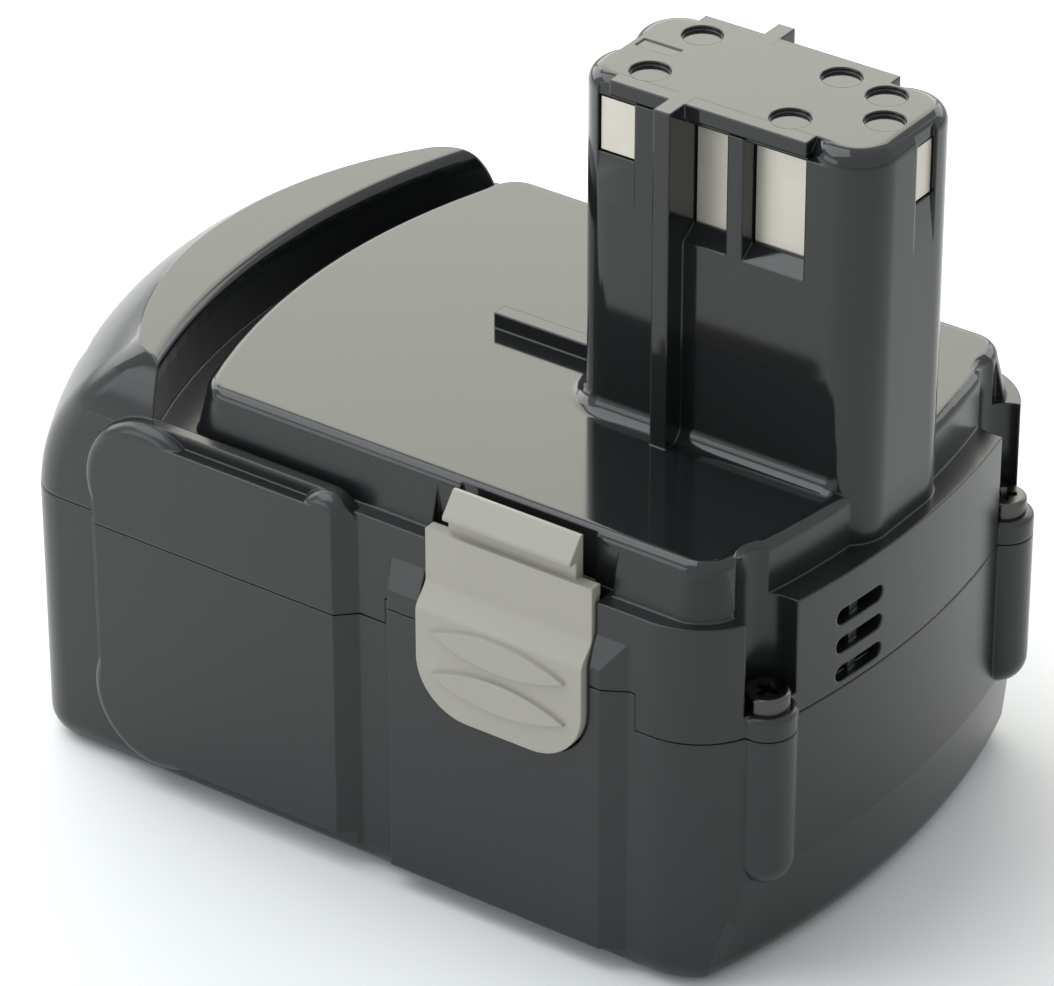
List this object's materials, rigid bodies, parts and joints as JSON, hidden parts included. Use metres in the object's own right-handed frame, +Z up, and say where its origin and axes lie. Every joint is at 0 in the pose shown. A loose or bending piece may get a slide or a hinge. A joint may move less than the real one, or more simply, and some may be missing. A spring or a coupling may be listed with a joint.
{
  "type": "power tool battery pack",
  "caption": "Rechargeable battery pack for a cordless tool: rounded two-piece case with a contact stem, a rear grip lip and a sprung release latch on each side.",
  "frame": {"origin": "middle of the box round the pack, on the surface that it stands on", "axes": "+X to the vented front end with the stem, +Z up along the stem, -Y to the side with the vents"},
  "size_m": [0.12, 0.0812, 0.106],
  "materials": {
    "case": "glossy black-grey moulded plastic",
    "latch": "satin beige-grey moulded plastic",
    "steel": "bright plated steel",
    "nickel": "nickel-plated strip",
    "cell_wrap": "shrink sleeve",
    "ring_card": "fibre card",
    "holder": "white moulded plastic",
    "sheet_card": "fibre sheet",
    "foam": "closed-cell foam",
    "board": "solder mask",
    "chip": "moulded black package",
    "shunt_metal": "copper alloy strip",
    "can": "sleeved aluminium can",
    "tower": "dark moulded plastic"
  },
  "bodies": {
    "case": {"upper_case": "case", "lower_case": "case", "latch_spring_left": "steel", "latch_spring_right": "steel", "case_screws": "steel", "cell_1": "cell_wrap", "cell_2": "cell_wrap", "cell_3": "cell_wrap", "cell_4": "cell_wrap", "cell_5": "cell_wrap", "cell_6": "cell_wrap", "cell_7": "cell_wrap", "cell_8": "cell_wrap", "cell_9": "cell_wrap", "cell_10": "cell_wrap", "cell_rings": "ring_card", "cell_holder_left": "holder", "cell_holder_right": "holder", "tab_negative": "nickel", "tab_link_1": "nickel", "tab_link_2": "nickel", "tab_link_3": "nickel", "tab_link_4": "nickel", "tab_positive": "nickel", "insulator_left": "sheet_card", "insulator_right": "sheet_card", "foam_pad": "foam", "control_board": "board", "control_chip": "chip", "power_transistors": "chip", "shunt": "shunt_metal", "capacitor": "can", "thermistor": "chip", "terminal_tower": "tower", "contact_left_rear": "nickel", "contact_left_middle": "nickel", "contact_left_front": "nickel", "contact_right_rear": "nickel", "contact_right_middle": "nickel", "contact_right_front": "nickel", "contact_end": "nickel"},
    "latch_left": {"latch_left": "latch"},
    "latch_right": {"latch_right": "latch"}
  },
  "joints": [
    {"name": "latch_left_press", "type": "slide", "parent": "case", "child": "latch_left", "axis": [0, 1, 0], "range_m": [0, 0.002], "stiffness_N_per_m": 2000, "springref_m": -0.002, "deforming": ["latch_spring_left"]},
    {"name": "latch_right_press", "type": "slide", "parent": "case", "child": "latch_right", "axis": [0, -1, 0], "range_m": [0, 0.002], "stiffness_N_per_m": 2000, "springref_m": -0.002, "deforming": ["latch_spring_right"]}
  ]
}
